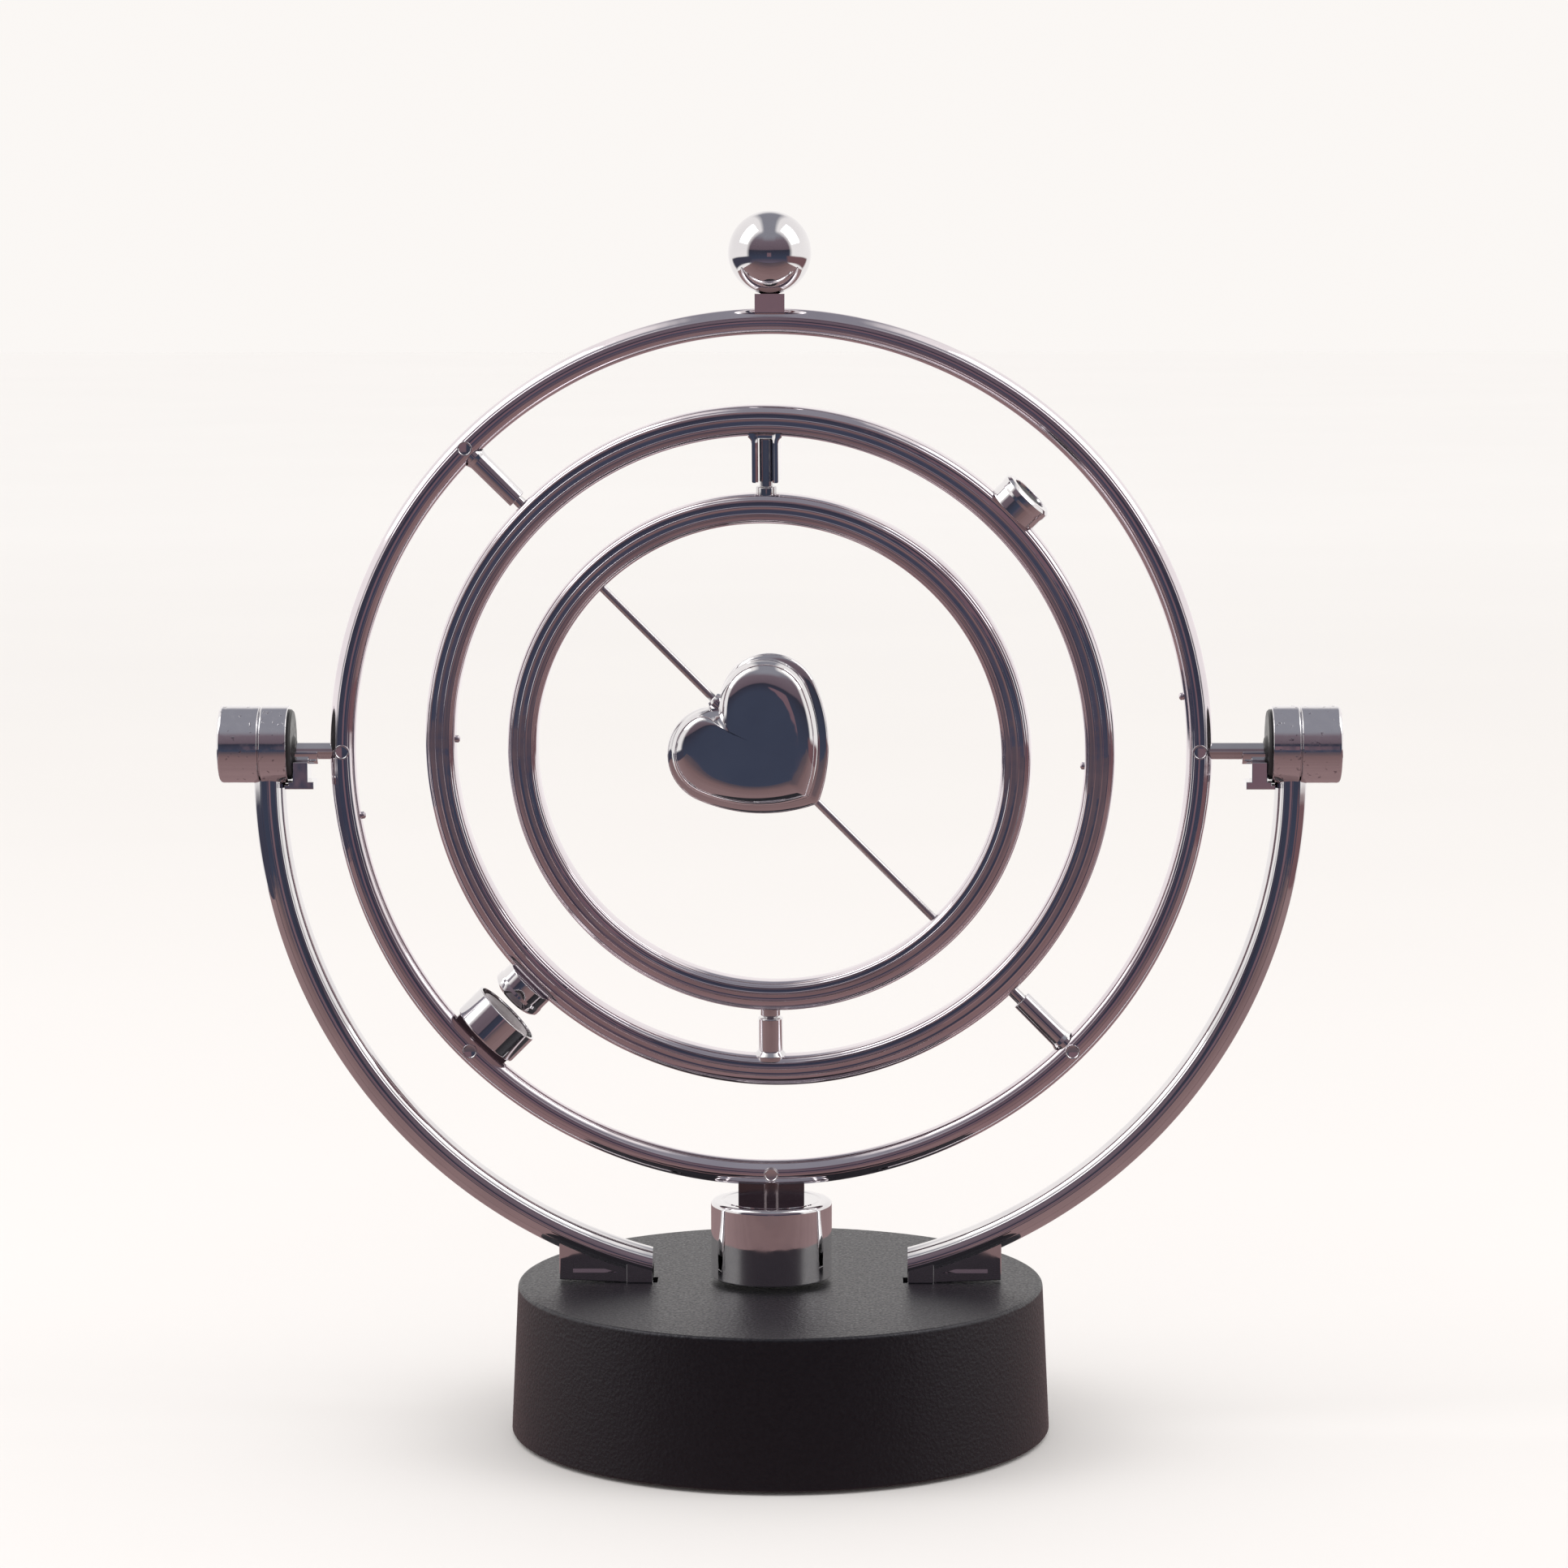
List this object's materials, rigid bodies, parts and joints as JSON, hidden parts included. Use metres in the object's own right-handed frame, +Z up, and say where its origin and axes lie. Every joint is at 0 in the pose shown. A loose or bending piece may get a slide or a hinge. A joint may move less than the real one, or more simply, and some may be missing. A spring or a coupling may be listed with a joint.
{
  "type": "kinetic gimbal ring desk toy",
  "caption": "Round battery base with two curved arms carrying nested rings that swing and spin about crossed axles around a heart on a wire.",
  "frame": {"origin": "middle of the underside, on the axis of the round base, at the level the feet rest on", "axes": "+X to the right along the swing axle, +Y to the back, +Z up"},
  "size_m": [0.2192, 0.1066, 0.2407],
  "materials": {
    "black_plastic": "fine moulded grain, satin side",
    "dark_plastic": "moulded matt",
    "chrome_plate": "bright chrome plating on moulded plastic",
    "axle_steel": "drawn and plated",
    "spring_steel": "nickel plated",
    "screw_steel": "zinc plated",
    "iron": "soft iron, turned",
    "magnet": "sintered ferrite, dark",
    "magnet_face": "nickel plated, satin",
    "brass": "turned",
    "copper": "enamelled wire",
    "bobbin_plastic": "moulded nylon",
    "bearing_plastic": "satin",
    "cell_jacket": "plain printed foil",
    "board": "bonded paper board",
    "component_plastic": "moulded",
    "rubber": "matt"
  },
  "bodies": {
    "stand": {"base_shell": "black_plastic", "base_plate": "dark_plastic", "battery_door": "dark_plastic", "battery_bay": "dark_plastic", "battery_cell_1": "cell_jacket", "battery_cell_2": "cell_jacket", "battery_cell_3": "cell_jacket", "battery_cell_4": "cell_jacket", "battery_contacts": "spring_steel", "coil_bobbin": "bobbin_plastic", "coil_winding": "copper", "coil_core": "iron", "circuit_board": "board", "board_components": "component_plastic", "rubber_feet": "rubber", "base_screws": "screw_steel", "arm_left": "chrome_plate", "arm_right": "chrome_plate", "arm_screws": "screw_steel", "housing_left": "chrome_plate", "housing_right": "chrome_plate", "housing_cap_left": "chrome_plate", "housing_cap_right": "chrome_plate", "bearing_disc_left": "bearing_plastic", "bearing_disc_right": "bearing_plastic", "bearing_bush_left": "brass", "bearing_bush_right": "brass", "axle_bracket_left": "chrome_plate", "axle_bracket_right": "chrome_plate"},
    "outer_ring_group": {"outer_ring": "chrome_plate", "ring_bosses": "chrome_plate", "axle_left": "axle_steel", "axle_right": "axle_steel", "finial_stem": "chrome_plate", "finial_ball": "chrome_plate", "weight_saddle": "chrome_plate", "weight_cup": "chrome_plate", "weight_magnet": "magnet", "driver_saddle": "chrome_plate", "driver_cup": "chrome_plate", "driver_magnet": "magnet_face", "pivot_post_upper": "chrome_plate", "pivot_post_lower": "chrome_plate"},
    "mid_ring_group": {"mid_ring": "chrome_plate", "mid_pivot_pins": "axle_steel", "magnet_cup_upper": "chrome_plate", "magnet_cup_lower": "chrome_plate", "ring_magnet_upper": "magnet", "ring_magnet_lower": "magnet", "fork_post": "chrome_plate", "tube_post": "chrome_plate"},
    "inner_ring_group": {"inner_ring": "chrome_plate", "inner_pivot_pins": "axle_steel"},
    "heart_group": {"heart_front": "chrome_plate", "heart_back": "chrome_plate", "heart_wire": "axle_steel", "wire_sleeve": "chrome_plate"}
  },
  "joints": [
    {"name": "outer_ring_swing", "type": "hinge", "parent": "stand", "child": "outer_ring_group", "pos_m": [-0.00175, 0, 0.1355], "axis": [1, 0, 0], "continuous": true},
    {"name": "mid_ring_spin", "type": "hinge", "parent": "outer_ring_group", "child": "mid_ring_group", "pos_m": [-0.00175, 0, 0.1355], "axis": [0.7071, 0, -0.7071], "continuous": true},
    {"name": "inner_ring_spin", "type": "hinge", "parent": "mid_ring_group", "child": "inner_ring_group", "pos_m": [-0.00217, 0, 0.13592], "axis": [-0.0043, -0.0923, 0.9957], "continuous": true},
    {"name": "heart_spin", "type": "hinge", "parent": "inner_ring_group", "child": "heart_group", "pos_m": [-0.00217, 0.00009, 0.13498], "axis": [0.7061, -0.0098, -0.708], "continuous": true}
  ]
}
